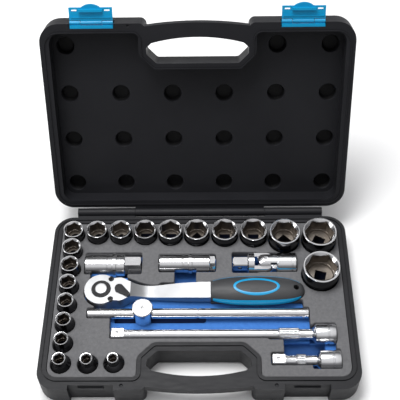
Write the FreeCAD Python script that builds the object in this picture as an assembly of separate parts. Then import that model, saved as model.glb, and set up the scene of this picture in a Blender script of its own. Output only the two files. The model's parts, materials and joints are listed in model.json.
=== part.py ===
"""Half-inch drive socket wrench set in a moulded carrying case.

Millimetres. +Z is up, +X is to the right and +Y points away from the user, to the hinge.
The origin is the middle of the base's underside. The case lies open: its lid leans back on
its hinge, and every tool stands or lies in its own pocket of the foam tray.

The plan is drawn with u, the distance in front of the hinge axis, so y = HINGE_Y - u, and with
d, the height above the parting plane that the two closed halves share, so z = PLANE_Z + d.
"""

import FreeCAD, Part
import math
import os

from FreeCAD import Vector

# ---------------------------------------------------------------- driving dimensions

# Case
CASE_WIDTH = 350.0
CASE_BACK = 7.3              # u of the back walls
CASE_FRONT = 233.5           # u of the front walls
BASE_DEPTH = 32.0
LID_DEPTH = 30.0
RIM_GAP = 0.3                # between the closed rims
CORNER = 22.0
EDGE_ROUND = 4.5             # rounding of the outer floor edges
FLOOR = 2.6
LID_OPEN = 115.6             # degrees from closed to the stop

HINGE_Y = (CASE_BACK + CASE_FRONT) / 2
PLANE_Z = BASE_DEPTH

# Hinge
KNUCKLE_R = 5.2
HINGE_PIN_R = 1.5
PIN_RUNNING = 0.06           # radial clearance of a pin that turns
KNUCKLE_GAP = 0.4
KNUCKLE_END = 148.8
KNUCKLE_SPLIT = 78.5

# Handle, shared half and half by the base and the lid
HANDLE_HALF = 57.0           # half the width of the hand opening
HANDLE_BACK = 188.0          # u of the opening's back wall
HANDLE_CHAMFER = 11.0
HANDLE_INNER = 217.9         # u of the grip's inner face at the middle
HANDLE_OUTER = 234.1
HANDLE_SAG = 6.6             # how far the grip's ends fall back from its middle
HANDLE_THICK = 13.2

# Tray cavity and the seal around it
TRAY_HALF = 165.5
TRAY_BACK = 16.2
TRAY_FRONT = 218.9
TRAY_NOTCH_HALF = 67.2
TRAY_NOTCH_BACK = 177.4
TRAY_CHAMFER = 16.8
GROOVE_NEAR = 4.0
GROOVE_FAR = 5.4
GROOVE_DEPTH = 1.6
TONGUE_PLAY = 0.25

# Lid panel and its kiss-off dimples
LID_HALF = 164.5
LID_BACK = 16.4
LID_FRONT = 222.5
LID_NOTCH_HALF = 65.5
LID_NOTCH_BACK = 181.1
PANEL_DEPTH = 21.0
WALL = 2.0
DIMPLE_R = 10.4
DIMPLE_FLOOR_R = 8.2
DIMPLE_DEPTH = 7.0
DIMPLE_PITCH_X = 60.0
DIMPLE_PITCH_U = 57.4
DIMPLE_FIRST_U = 31.0

# Latches
LATCH_X = 116.0
LATCH_WIDTH = 47.4
RECESS_WIDTH = 49.0
RECESS_BACK = 228.0
LATCH_AXIS_U = 234.0
LATCH_AXIS_D = 3.4
LATCH_BARREL_R = 2.2
LATCH_PIN_R = 0.8
LATCH_PLATE = 2.6

# Foam
FOAM_TOP = -1.0
FOAM_SPLIT = -12.3
FOAM_PLAY = 0.3
POCKET_PLAY = 0.4

# Tools
SQUARE = 12.7                # half-inch drive
SQUARE_BORE = 12.9
BALL_R = 2.5
BALL_PROUD = 0.8
BALL_TRAVEL = 0.7
SOCKET_FOOT = -25.5          # d of the sockets' lower faces

# Hexagon sizes with the plan position of each upright socket: size, x, u
SOCKET_BACK_ROW = [
    (18, -122.3, 33.3), (19, -94.2, 33.3), (20, -64.9, 33.4), (21, -34.8, 33.8),
    (22, -3.4, 34.2), (23, 30.0, 34.5), (24, 64.7, 34.8), (27, 100.7, 41.2), (30, 141.7, 42.1),
]
SOCKET_COLUMN_X = -150.4
SOCKET_COLUMN_U = 33.2
SOCKET_COLUMN_PITCH = 24.2
SOCKET_COLUMN = [17, 16, 15, 14, 13, 12, 11, 10]
SOCKET_LONE = [(9, -120.9, 202.8), (8, -92.4, 202.0), (32, 140.1, 90.8)]

# Plan positions of the tools that lie down: y from u
RATCHET_X = -112.4
RATCHET_U = 111.4
TBAR_U = 139.2
TBAR_D = -4.5
TBAR_X = -126.5
TBAR_LENGTH = 250.0
TBAR_R = 6.0
TBAR_HEAD_X = -63.6
LONG_EXT_X = -98.6
LONG_EXT_U = 165.2
LONG_EXT_D = -6.0
SHORT_EXT_X = 79.2
SHORT_EXT_U = 197.0
SHORT_EXT_D = -7.0
PLUG_U = 73.0
UJ_X = 39.2
UJ_U = 72.6
UJ_D = -4.5

X_AXIS = Vector(1, 0, 0)
Y_AXIS = Vector(0, 1, 0)
Z_AXIS = Vector(0, 0, 1)

os.makedirs("parts", exist_ok=True)


# ---------------------------------------------------------------- helpers

def y_of(u):
    return HINGE_Y - u


def z_of(d):
    return PLANE_Z + d


def save(shape, name):
    shape.exportStep("parts/" + name + ".step")


def join(shapes):
    whole = shapes[0]
    for shape in shapes[1:]:
        whole = whole.fuse(shape)
    return whole.removeSplitter()


def block(x0, x1, u0, u1, d0, d1):
    """A box between two x, two u and two d values."""
    return Part.makeBox(x1 - x0, u1 - u0, d1 - d0, Vector(x0, y_of(u1), z_of(d0)))


def rod(x0, x1, u, d, radius):
    """A cylinder along X."""
    return Part.makeCylinder(radius, x1 - x0, Vector(x0, y_of(u), z_of(d)), X_AXIS)


def post(x, u, d0, d1, radius):
    """A cylinder along Z."""
    return Part.makeCylinder(radius, d1 - d0, Vector(x, y_of(u), z_of(d0)), Z_AXIS)


def cone(x, u, d0, r0, d1, r1):
    return Part.makeCone(r0, r1, d1 - d0, Vector(x, y_of(u), z_of(d0)), Z_AXIS)


def rounded_face(corners):
    """A flat face in plan from corners (x, u, radius), each rounded by its own radius."""
    points = [Vector(x, y_of(u), 0) for x, u, _ in corners]
    count = len(points)
    edges = []
    ends = []
    for index in range(count):
        here = points[index]
        before = (points[index - 1] - here).normalize()
        after = (points[(index + 1) % count] - here).normalize()
        half = math.acos(max(-1.0, min(1.0, before.dot(after)))) / 2
        radius = corners[index][2]
        reach = radius / math.tan(half)
        start = here + before * reach
        end = here + after * reach
        bisector = (before + after).normalize()
        middle = here + bisector * (radius / math.sin(half) - radius)
        ends.append((start, middle, end))
    for index in range(count):
        start, middle, end = ends[index]
        edges.append(Part.Arc(start, middle, end).toShape())
        edges.append(Part.LineSegment(end, ends[(index + 1) % count][0]).toShape())
    return Part.Face(Part.Wire(edges))


def raised(face, d0, d1):
    """Extrude a plan face from d0 to d1."""
    placed = face.translated(Vector(0, 0, z_of(d0)))
    return placed.extrude(Vector(0, 0, d1 - d0))


def along_x(profile, x, u, d):
    """Turn a profile of (distance along X, radius) about the tool's axis."""
    points = [Vector(x + profile[0][0], y_of(u), z_of(d))]
    points += [Vector(x + s, y_of(u) + r, z_of(d)) for s, r in profile]
    points.append(Vector(x + profile[-1][0], y_of(u), z_of(d)))
    points.append(points[0])
    face = Part.Face(Part.makePolygon(points))
    return face.revolve(Vector(x, y_of(u), z_of(d)), X_AXIS, 360)


def hexagon(across_flats, turn=0.0):
    radius = across_flats / math.sqrt(3)
    angles = [math.radians(60 * side + turn) for side in range(7)]
    return [(radius * math.cos(a), radius * math.sin(a)) for a in angles]


def upright_hex(x, u, across_flats, d0, d1, turn=0.0):
    corners = [Vector(x + a, y_of(u) + b, z_of(d0)) for a, b in hexagon(across_flats, turn)]
    return Part.Face(Part.makePolygon(corners)).extrude(Vector(0, 0, d1 - d0))


def lying_hex(x0, x1, u, d, across_flats):
    corners = [Vector(x0, y_of(u) + a, z_of(d) + b) for a, b in hexagon(across_flats)]
    return Part.Face(Part.makePolygon(corners)).extrude(Vector(x1 - x0, 0, 0))


def square_along_x(x0, x1, u, d, side, chamfer):
    """A drive square with chamfered long edges and a chamfered nose at x0."""
    bar = block(x0, x1, u - side / 2, u + side / 2, d - side / 2, d + side / 2)
    reach = side / 2 * math.sqrt(2) - chamfer
    nose = along_x([(0, reach - 1.5), (1.5, reach), (x1 - x0, reach)], x0, u, d)
    return bar.common(nose)


def square_along_z(x, u, d0, d1, side, chamfer):
    """A drive square that points down, with its nose at d0."""
    bar = block(x - side / 2, x + side / 2, u - side / 2, u + side / 2, d0, d1)
    reach = side / 2 * math.sqrt(2) - chamfer
    nose = cone(x, u, d0, reach - 1.5, d0 + 1.5, reach).fuse(post(x, u, d0 + 1.5, d1, reach))
    return bar.common(nose)


def ball_and_seat(face_point, outward):
    """The detent ball proud of a flat, and the blind seat that it sinks into."""
    centre = face_point - outward * (BALL_R - BALL_PROUD)
    ball = Part.makeSphere(BALL_R, centre)
    deep = BALL_R + BALL_TRAVEL + 0.1
    seat = Part.makeCylinder(BALL_R + PIN_RUNNING, deep + BALL_R, centre - outward * deep, outward)
    return ball, seat


def swing(shape, degrees):
    """Turn a piece of the lid about the hinge axis, from closed to open."""
    return shape.rotated(Vector(0, HINGE_Y, PLANE_Z), X_AXIS, -degrees)


# ---------------------------------------------------------------- case

def case_outline():
    half = CASE_WIDTH / 2
    inset = HANDLE_HALF - HANDLE_CHAMFER
    shoulder = HANDLE_BACK + HANDLE_CHAMFER
    return rounded_face([
        (-half, CASE_BACK, CORNER), (-half, CASE_FRONT, CORNER),
        (-HANDLE_HALF, CASE_FRONT, 7), (-HANDLE_HALF, shoulder, 5), (-inset, HANDLE_BACK, 5),
        (inset, HANDLE_BACK, 5), (HANDLE_HALF, shoulder, 5), (HANDLE_HALF, CASE_FRONT, 7),
        (half, CASE_FRONT, CORNER), (half, CASE_BACK, CORNER),
    ])


def notched_outline(half, back, front, notch_half, notch_back):
    """The plan of a cavity that steps back round the hand opening."""
    inset = notch_half - TRAY_CHAMFER
    shoulder = notch_back + TRAY_CHAMFER
    return rounded_face([
        (-half, back, 12), (-half, front, 12),
        (-notch_half, front, 5), (-notch_half, shoulder, 9), (-inset, notch_back, 9),
        (inset, notch_back, 9), (notch_half, shoulder, 9), (notch_half, front, 5),
        (half, front, 12), (half, back, 12),
    ])


def tray_outline():
    return notched_outline(TRAY_HALF, TRAY_BACK, TRAY_FRONT, TRAY_NOTCH_HALF, TRAY_NOTCH_BACK)


def handle_bar(d0, d1, rounded_d):
    """The grip: a curved bar across the hand opening, rounded along its outer face."""
    end = HANDLE_HALF + 4
    inner_end = HANDLE_INNER - HANDLE_SAG
    outer_end = HANDLE_OUTER - HANDLE_SAG + 2
    knee = HANDLE_HALF - 6
    top = [
        Part.LineSegment(Vector(-end, y_of(inner_end - 9), 0), Vector(-knee, y_of(inner_end), 0)),
        Part.Arc(Vector(-knee, y_of(inner_end), 0), Vector(0, y_of(HANDLE_INNER), 0),
                 Vector(knee, y_of(inner_end), 0)),
        Part.LineSegment(Vector(knee, y_of(inner_end), 0), Vector(end, y_of(inner_end - 9), 0)),
        Part.LineSegment(Vector(end, y_of(inner_end - 9), 0), Vector(end, y_of(outer_end), 0)),
        Part.Arc(Vector(end, y_of(outer_end), 0), Vector(0, y_of(HANDLE_OUTER), 0),
                 Vector(-end, y_of(outer_end), 0)),
        Part.LineSegment(Vector(-end, y_of(outer_end), 0), Vector(-end, y_of(inner_end - 9), 0)),
    ]
    face = Part.Face(Part.Wire([edge.toShape() for edge in top]))
    bar = raised(face, d0, d1)
    far = [edge for edge in bar.Edges
           if all(abs(v.Z - z_of(rounded_d)) < 1e-6 for v in edge.Vertexes)
           and edge.Length > 2 * knee]
    return bar.makeFillet(EDGE_ROUND, far)


def outer_edges(shape, d):
    """The edges of a shell's outer face at height d."""
    return [edge for edge in shape.Edges
            if all(abs(v.Z - z_of(d)) < 1e-6 for v in edge.Vertexes)]


def seal_ring(near, far, d0, d1):
    outline = tray_outline()
    ring = outline.makeOffset2D(far).cut(outline.makeOffset2D(near))
    return ring.translated(Vector(0, 0, z_of(d0))).extrude(Vector(0, 0, d1 - d0))


def latch_recess(side, d0, d1):
    x = side * LATCH_X
    return block(x - RECESS_WIDTH / 2, x + RECESS_WIDTH / 2, RECESS_BACK, CASE_FRONT + 5, d0, d1)


def knuckle(x0, x1, d0, d1, bore):
    """A hinge barrel with the web that ties it to the back wall."""
    barrel = rod(x0, x1, 0, 0, KNUCKLE_R)
    web = block(x0, x1, 0, CASE_BACK + 1, d0, d1)
    return barrel.fuse(web).cut(rod(x0 - 1, x1 + 1, 0, 0, bore))


def base_shell():
    rim = -RIM_GAP / 2
    shell = raised(case_outline(), -BASE_DEPTH, rim)
    shell = shell.makeFillet(EDGE_ROUND, outer_edges(shell, -BASE_DEPTH))
    shell = shell.fuse(handle_bar(-HANDLE_THICK, rim, -HANDLE_THICK))
    shell = shell.cut(raised(tray_outline(), -BASE_DEPTH + FLOOR, 1))
    shell = shell.cut(seal_ring(GROOVE_NEAR, GROOVE_FAR, rim - GROOVE_DEPTH, 1))
    for side in (-1, 1):
        shell = shell.cut(latch_recess(side, -BASE_DEPTH - 1, 1))
        x = side * LATCH_X
        shell = shell.fuse(block(x - 14, x + 14, RECESS_BACK - 1, RECESS_BACK + 1.9, -8.0, -5.4))
        shell = shell.cut(cone(side * 83, 228.4, rim - 1.4, 1.0, rim + 0.01, 2.0))
        ends = sorted((side * (KNUCKLE_SPLIT + KNUCKLE_GAP), side * KNUCKLE_END))
        shell = shell.fuse(knuckle(ends[0], ends[1], -KNUCKLE_R, 0, HINGE_PIN_R))
    return shell.removeSplitter()


def dimple_places():
    places = []
    for row in range(4):
        for column in range(6):
            x = (column - 2.5) * DIMPLE_PITCH_X
            if row == 3 and -100 < x < 85:
                continue
            places.append((x, DIMPLE_FIRST_U + row * DIMPLE_PITCH_U))
    return places


def lid_shell():
    """Closed lid: double-walled over its panel, the two walls meeting at the dimples."""
    rim = RIM_GAP / 2
    shell = raised(case_outline(), rim, LID_DEPTH)
    shell = shell.makeFillet(EDGE_ROUND, outer_edges(shell, LID_DEPTH))
    shell = shell.fuse(handle_bar(rim, HANDLE_THICK, HANDLE_THICK))
    panel = notched_outline(LID_HALF, LID_BACK, LID_FRONT, LID_NOTCH_HALF, LID_NOTCH_BACK)
    shell = shell.cut(raised(panel, -1, PANEL_DEPTH))
    hollow = raised(panel.makeOffset2D(-WALL), PANEL_DEPTH + WALL, LID_DEPTH - WALL)
    for x, u in dimple_places():
        floor_d = PANEL_DEPTH + DIMPLE_DEPTH
        shell = shell.cut(cone(x, u, PANEL_DEPTH - 0.01, DIMPLE_R, floor_d, DIMPLE_FLOOR_R))
        hollow = hollow.cut(post(x, u, PANEL_DEPTH, LID_DEPTH, DIMPLE_R + WALL))
    shell = shell.cut(hollow)
    shell = shell.fuse(seal_ring(GROOVE_NEAR + TONGUE_PLAY, GROOVE_FAR - TONGUE_PLAY,
                                 -GROOVE_DEPTH + 0.5, rim + 0.5))
    for side in (-1, 1):
        shell = shell.cut(latch_recess(side, -1, 14))
    shell = shell.cut(cone(-76, 231.0, rim - 0.01, 1.6, rim + 1.2, 0.8))
    shell = shell.fuse(knuckle(-KNUCKLE_SPLIT, KNUCKLE_SPLIT, 0, KNUCKLE_R,
                               HINGE_PIN_R + PIN_RUNNING))
    return shell.removeSplitter()


def latch_leaf(side):
    """The part of a latch that stays in the lid's recess and carries its outer barrels."""
    x = side * LATCH_X
    half = LATCH_WIDTH / 2
    plate = block(x - half, x + half, RECESS_BACK, 231.4, 0.7, 10.5)
    pieces = [plate]
    for end in (-1, 1):
        near = x + end * 12.2
        far = x + end * half
        low, high = min(near, far), max(near, far)
        pieces.append(rod(low, high, LATCH_AXIS_U, LATCH_AXIS_D, LATCH_BARREL_R))
        pieces.append(block(low, high, 231, LATCH_AXIS_U, LATCH_AXIS_D - 1.2, LATCH_AXIS_D + 1.6))
    leaf = join(pieces)
    return leaf.cut(rod(x - half - 1, x + half + 1, LATCH_AXIS_U, LATCH_AXIS_D, LATCH_PIN_R))


def latch_flap(side):
    """The swinging part of a latch, drawn closed: it hangs over the base's catch."""
    x = side * LATCH_X
    half = LATCH_WIDTH / 2
    inner = LATCH_AXIS_U - 1.0
    outer = inner + LATCH_PLATE
    shoulder = LATCH_AXIS_D - 16.5
    plate = block(x - half, x + half, inner, outer, shoulder, LATCH_AXIS_D - 2.8)
    neck = block(x - 11.6, x + 11.6, inner, outer, shoulder, LATCH_AXIS_D)
    barrel = rod(x - 11.6, x + 11.6, LATCH_AXIS_U, LATCH_AXIS_D, LATCH_BARREL_R)
    tab_disc = Part.makeCylinder(17.0, LATCH_PLATE, Vector(x, y_of(outer), z_of(shoulder + 13.2)),
                                 Y_AXIS)
    tab = tab_disc.common(block(x - 12, x + 12, inner, outer, shoulder - 5, shoulder + 1))
    hook = block(x - 13, x + 13, 229.8, inner + 0.5, LATCH_AXIS_D - 15.2, LATCH_AXIS_D - 12.5)
    rib = block(x - half + 1.5, x + half - 1.5, inner - 0.8, inner + 0.5,
                LATCH_AXIS_D - 6.6, LATCH_AXIS_D - 5.4)
    flap = join([plate, neck, barrel, tab, hook, rib])
    for end in (-1, 1):
        slot_x = x + end * 18
        flap = flap.cut(block(slot_x - 3, slot_x + 3, inner - 2, outer + 1,
                              shoulder + 2, shoulder + 4))
    bore = LATCH_PIN_R + PIN_RUNNING
    return flap.cut(rod(x - half, x + half, LATCH_AXIS_U, LATCH_AXIS_D, bore))


def latch_pin(side):
    x = side * LATCH_X
    half = LATCH_WIDTH / 2 - 0.5
    return rod(x - half, x + half, LATCH_AXIS_U, LATCH_AXIS_D, LATCH_PIN_R)


def open_latch(shape):
    """Swing a closed flap out into the lid's plane, about the latch pin."""
    return shape.rotated(Vector(0, y_of(LATCH_AXIS_U), z_of(LATCH_AXIS_D)), X_AXIS, -90)


# ---------------------------------------------------------------- sockets

def socket_radius(size):
    return (1.25 * size + 2.5) / 2


def socket_foot_radius(size):
    return max(11.0, socket_radius(size) - (0.6 if size > 20 else 0.0))


def socket_length(size):
    return 43.0 if size > 24 else 38.0


def socket_places():
    places = []
    for index, size in enumerate(SOCKET_COLUMN):
        places.append((size, SOCKET_COLUMN_X, SOCKET_COLUMN_U + index * SOCKET_COLUMN_PITCH))
    return places + SOCKET_BACK_ROW + SOCKET_LONE


# How far each socket has turned in its pocket, where it does not stand square to the case
HEX_TURN = {20: 3.75, 22: 0.0, 23: -11.25, 24: 3.75, 27: 0.0, 30: -3.75, 32: 0.0}
SQUARE_TURN = {22: 45.0, 27: 45.0, 30: -30.0, 32: -15.0}


def upright_square(x, u, side, d0, d1, turn):
    half = side / 2
    bar = block(x - half, x + half, u - half, u + half, d0, d1)
    return bar.rotated(Vector(x, y_of(u), 0), Z_AXIS, turn)


def socket(size, x, u):
    """An upright socket: hexagon mouth, round relief and square drive bore.

    A small socket has a round web hole between them; a large one is bored square right through.
    """
    foot = socket_foot_radius(size)
    mouth = socket_radius(size)
    length = socket_length(size)
    d0 = SOCKET_FOOT
    d1 = d0 + length
    waist = d0 + 25.0
    step = d0 + 28.5
    profile = [(0, foot - 0.8), (0.8, foot), (waist - d0, foot), (step - d0, mouth),
               (length - 0.8, mouth), (length, mouth - 0.8)]
    points = [Vector(x, y_of(u), z_of(d0))]
    points += [Vector(x + r, y_of(u), z_of(d0 + s)) for s, r in profile]
    points += [Vector(x, y_of(u), z_of(d1)), Vector(x, y_of(u), z_of(d0))]
    body = Part.Face(Part.makePolygon(points)).revolve(Vector(x, y_of(u), 0), Z_AXIS, 360)
    hex_depth = min(0.55 * size + 5.0, 17.0)
    turn = HEX_TURN.get(size, 90.0)
    body = body.cut(upright_hex(x, u, size + 0.3, d1 - hex_depth, d1 + 1, turn=turn))
    flat = (size + 0.3) / 2
    lead = min(flat * 2 / math.sqrt(3) + 0.75, mouth - 0.75)
    lead_depth = 0.9 * (lead - flat)
    body = body.cut(cone(x, u, d1 - lead_depth, flat, d1 + 0.01, lead))
    relief = flat - 0.6
    body = body.cut(post(x, u, d1 - hex_depth - 3.5, d1 - hex_depth + 0.5, relief))
    web_hole = min(relief - 0.5, 5.2)
    body = body.cut(post(x, u, d0 + 15, d1 - hex_depth, web_hole))
    through = d1 - hex_depth - 3.0 if size >= 20 else d0 + 15.5
    turn = SQUARE_TURN.get(size, 0.0)
    body = body.cut(upright_square(x, u, SQUARE_BORE, d0 - 1, through, turn))
    ring_r = foot + 0.01
    for groove in (5.0, 12.5):
        ring = post(x, u, d0 + groove, d0 + groove + 0.9, ring_r)
        body = body.cut(ring.cut(post(x, u, d0 + groove, d0 + groove + 0.9, foot - 0.4)))
    return body


PLUGS = {
    # name: hexagon size, x of the open end, d of the axis, body radius, drive hexagon
    "plug_socket_21mm": (21, -134.2, -7.0, 13.4, 20.0),
    "plug_socket_16mm": (16, -47.0, -3.5, 11.0, 17.0),
}
PLUG_LENGTH = 65.5


def plug_socket(size, x, d, radius, drive_hex):
    """A long socket lying down, open end to the left, with a hexagon at its drive end."""
    body_end = 39.5 if size > 18 else 52.0
    collar = 33.0 if size > 18 else 34.8
    profile = [(0, radius - 1), (1, radius), (collar - 7.5, radius), (collar - 7.2, radius - 0.7),
               (collar - 6.2, radius - 0.7), (collar - 5.9, radius), (collar - 1, radius),
               (collar - 0.4, radius + 1.0), (collar + 3.4, radius + 1.0),
               (collar + 4.0, radius - 0.2), (body_end + 6.5, radius - 0.2),
               (body_end + 7.5, radius - 1.6)]
    body = along_x(profile, x, PLUG_U, d)
    spanner = lying_hex(x + body_end, x + PLUG_LENGTH, PLUG_U, d, drive_hex)
    nose = along_x([(0, drive_hex / 1.732 + 1), (PLUG_LENGTH - body_end - 1, drive_hex / 1.732),
                    (PLUG_LENGTH - body_end, drive_hex / 1.732 - 1.4)], x + body_end, PLUG_U, d)
    body = body.fuse(spanner.common(nose))
    body = body.cut(lying_hex(x - 1, x + 22, PLUG_U, d, size + 0.3))
    body = body.cut(rod(x + 21, x + 47, PLUG_U, d, size / 2 - 0.2))
    half = SQUARE_BORE / 2
    bore = block(x + 46, x + PLUG_LENGTH + 1, PLUG_U - half, PLUG_U + half, d - half, d + half)
    return body.cut(bore)


def plug_insert(size, x, d):
    """The rubber sleeve that holds a spark plug by its insulator."""
    sleeve = rod(x + 24, x + 40, PLUG_U, d, size / 2 - 0.2)
    return sleeve.cut(rod(x + 23, x + 41, PLUG_U, d, size / 2 - 3.0))


# ---------------------------------------------------------------- universal joint

UJ_LENGTH = 74.0
UJ_CENTRE = 38.0             # distance from the male nose to the crossing pins
UJ_R = 12.5
UJ_BLOCK = 12.0
UJ_PIN_R = 2.6
UJ_PIN_REACH = 10.4          # from the centre to a pin's sunk end
UJ_EAR_HALF = 5.7            # half the width of an ear, less than the gap it turns in
UJ_ROOM = 14.2               # half the pocket's width where the male end can swing


def uj_centre():
    return Vector(UJ_X + UJ_CENTRE, y_of(UJ_U), z_of(UJ_D))


def uj_fork(x0, x1, x_root, upright):
    """Two ears between x0 and x1, joined at x_root, with a gap for the centre block."""
    gap = UJ_BLOCK / 2 + 0.3
    body = rod(min(x0, x1), max(x0, x1), UJ_U, UJ_D, UJ_R)
    flat = UJ_EAR_HALF
    if upright:
        slab = block(min(x0, x1), max(x0, x1), UJ_U - flat, UJ_U + flat, UJ_D - 20, UJ_D + 20)
        slot = block(min(x_root, x0), max(x_root, x0), UJ_U - 20, UJ_U + 20,
                     UJ_D - gap, UJ_D + gap)
    else:
        slab = block(min(x0, x1), max(x0, x1), UJ_U - 20, UJ_U + 20, UJ_D - flat, UJ_D + flat)
        slot = block(min(x_root, x0), max(x_root, x0), UJ_U - gap, UJ_U + gap,
                     UJ_D - 20, UJ_D + 20)
    return body.common(slab).cut(slot)


def ear_round(shape, upright, toward):
    """Round the free ends of two ears about their pin and about the joint's centre."""
    centre = uj_centre()
    axis = Z_AXIS if upright else Y_AXIS
    disc = Part.makeCylinder(8.3, 40, centre - axis * 20, axis)
    disc = disc.common(Part.makeSphere(UJ_R + 0.1, centre))
    if toward < 0:
        keep = Part.makeBox(60, 60, 60, Vector(centre.x, centre.y - 30, centre.z - 30))
    else:
        keep = Part.makeBox(60, 60, 60, Vector(centre.x - 60, centre.y - 30, centre.z - 30))
    return shape.common(disc.fuse(keep))


def uj_female():
    x_centre = UJ_X + UJ_CENTRE
    fork = uj_fork(x_centre - 9, x_centre + 14, x_centre + 13, True)
    fork = ear_round(fork, True, -1)
    body = along_x([(0, UJ_R - 0.8), (1.5, UJ_R), (17.5, UJ_R), (17.8, UJ_R - 0.7),
                    (18.6, UJ_R - 0.7), (18.9, UJ_R), (22.3, UJ_R), (23, UJ_R - 0.8)],
                   x_centre + 13, UJ_U, UJ_D)
    half = SQUARE_BORE / 2
    end = UJ_X + UJ_LENGTH
    body = body.cut(block(end - 15.5, end + 1, UJ_U - half, UJ_U + half, UJ_D - half, UJ_D + half))
    return fork.fuse(body).cut(uj_pin_hole(True)).removeSplitter()


def uj_pin_hole(upright):
    axis = Z_AXIS if upright else Y_AXIS
    return Part.makeCylinder(UJ_PIN_R + PIN_RUNNING, 40, uj_centre() - axis * 20, axis)


def uj_male():
    x_centre = UJ_X + UJ_CENTRE
    fork = uj_fork(x_centre + 9, x_centre - 14, x_centre - 13, False)
    fork = ear_round(fork, False, 1)
    collar = along_x([(0, UJ_R - 2.2), (1.4, UJ_R - 0.2), (8.0, UJ_R - 0.2)],
                     x_centre - 21, UJ_U, UJ_D)
    drive = square_along_x(UJ_X, UJ_X + 19, UJ_U, UJ_D, SQUARE, 0.9)
    return join([fork, collar, drive]).cut(uj_pin_hole(False))


def uj_block():
    centre = uj_centre()
    half = UJ_BLOCK / 2
    cube = Part.makeBox(UJ_BLOCK, UJ_BLOCK, UJ_BLOCK, centre - Vector(half, half, half))
    ball = Part.makeSphere(half * 1.42, centre)
    bores = [Part.makeCylinder(UJ_PIN_R, 40, centre - axis * 20, axis)
             for axis in (Z_AXIS, Y_AXIS)]
    return cube.common(ball).cut(bores[0]).cut(bores[1])


def uj_pins():
    """One long upright pin, and two short ones that meet it from the sides."""
    centre = uj_centre()
    long_pin = Part.makeCylinder(UJ_PIN_R, 2 * UJ_PIN_REACH, centre - Z_AXIS * UJ_PIN_REACH, Z_AXIS)
    pins = [long_pin]
    for side in (-1, 1):
        start = centre + Y_AXIS * side * (UJ_PIN_R + 0.1)
        pins.append(Part.makeCylinder(UJ_PIN_R, UJ_PIN_REACH - UJ_PIN_R - 0.1, start, Y_AXIS * side))
    return Part.makeCompound(pins)


# ---------------------------------------------------------------- ratchet

HEAD_R = 19.2
HEAD_LOW = -13.0
HEAD_HIGH = 4.0
COVER_THICK = 1.8
GEAR_R = 10.4
GEAR_TEETH = 36
GEAR_BORE_R = 11.0
LEVER_X = RATCHET_X + 21.0
LEVER_LOW = HEAD_HIGH + 0.3
LEVER_HIGH = HEAD_HIGH + 2.7
LEVER_REST = -38.0           # direction of the lever's tip, degrees from +X
NECK_X = RATCHET_X + 50.0
SHANK_END = 13.0
GRIP_END = 120.3
GRIP_D = -2.0
BUTTON_R = 7.0
BUTTON_TRAVEL = 2.5
SCREWS = [(RATCHET_X + 10.8, RATCHET_U - 13.2), (RATCHET_X + 11.4, RATCHET_U + 12.9)]
SCREW_R = 3.2
COVER_REACH = 31.0           # from the ring's centre to the cover's front edge


# Half width of the ratchet body at each distance from the ring's centre
OUTLINE = [(13, 17.6), (22, 15.2), (30, 11.4), (39, 8.4), (50, 7.6), (62, 7.9), (78, 8.9),
           (94, 9.8), (112, 10.3), (125.4, 10.4)]


def ratchet_face():
    """The plan of the ratchet body: a disc that draws in to the neck and widens to the grip."""
    axis_y = y_of(RATCHET_U)
    lean = math.atan2(OUTLINE[0][1], OUTLINE[0][0])
    first = Vector(math.cos(lean), math.sin(lean), 0) * HEAD_R
    sides = []
    for sign in (1, -1):
        points = [Vector(RATCHET_X + first.x, axis_y + sign * first.y, 0)]
        points += [Vector(RATCHET_X + s, axis_y + sign * half, 0) for s, half in OUTLINE[1:]]
        side = Part.BSplineCurve()
        start = Vector(first.y, -sign * first.x, 0).normalize()
        side.interpolate(points, InitialTangent=start, FinalTangent=X_AXIS)
        sides.append((points[0], points[-1], side))
    (top_first, top_last, top), (low_first, low_last, low) = sides
    edges = [
        Part.Arc(top_first, Vector(RATCHET_X - HEAD_R, axis_y, 0), low_first).toShape(),
        low.toShape(),
        Part.LineSegment(low_last, top_last).toShape(),
        top.toShape(),
    ]
    return Part.Face(Part.Wire(Part.__sortEdges__(edges)))


def ratchet_side():
    """The same body seen from the side: thick at the head, thin at the neck."""
    back = RATCHET_X - HEAD_R - 1
    upper = [(33.5, HEAD_HIGH), (42, 0.4), (51, -2.2), (64, -2.3), (90, 0.3), (112, 1.4), (125.4, 1.6)]
    lower = [(125.4, -8.0), (90, -8.6), (60, -9.2), (44, -9.9), (34, -11.8), (25, HEAD_LOW)]
    curves = []
    for row in (upper, lower):
        curve = Part.BSplineCurve()
        curve.interpolate([Vector(RATCHET_X + s, y_of(RATCHET_U), z_of(d)) for s, d in row])
        curves.append(curve.toShape())
    ends = [Vector(RATCHET_X + upper[0][0], y_of(RATCHET_U), z_of(HEAD_HIGH)),
            Vector(back, y_of(RATCHET_U), z_of(HEAD_HIGH)),
            Vector(back, y_of(RATCHET_U), z_of(HEAD_LOW)),
            Vector(RATCHET_X + lower[-1][0], y_of(RATCHET_U), z_of(HEAD_LOW))]
    lines = [Part.LineSegment(a, b).toShape() for a, b in zip(ends, ends[1:])]
    shank_end = Part.LineSegment(Vector(SHANK_END, y_of(RATCHET_U), z_of(1.6)),
                                 Vector(SHANK_END, y_of(RATCHET_U), z_of(-8.0))).toShape()
    wire = Part.Wire(Part.__sortEdges__(curves + lines + [shank_end]))
    face = Part.Face(wire).translated(Vector(0, -40, 0))
    return face.extrude(Vector(0, 80, 0))


def tang():
    return block(SHANK_END, 92, RATCHET_U - 7, RATCHET_U + 7, GRIP_D - 3, GRIP_D + 3)


def head_cavity():
    """Room for the gear, the pawl and the lever's stem under the cover plate."""
    low = HEAD_LOW + 3.0
    pawl_room = block(RATCHET_X + 8, LEVER_X + 4.5, RATCHET_U - 8.5, RATCHET_U + 8.5, low,
                      HEAD_HIGH - COVER_THICK)
    return post(RATCHET_X, RATCHET_U, low, HEAD_HIGH, GEAR_BORE_R).fuse(pawl_room)


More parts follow.
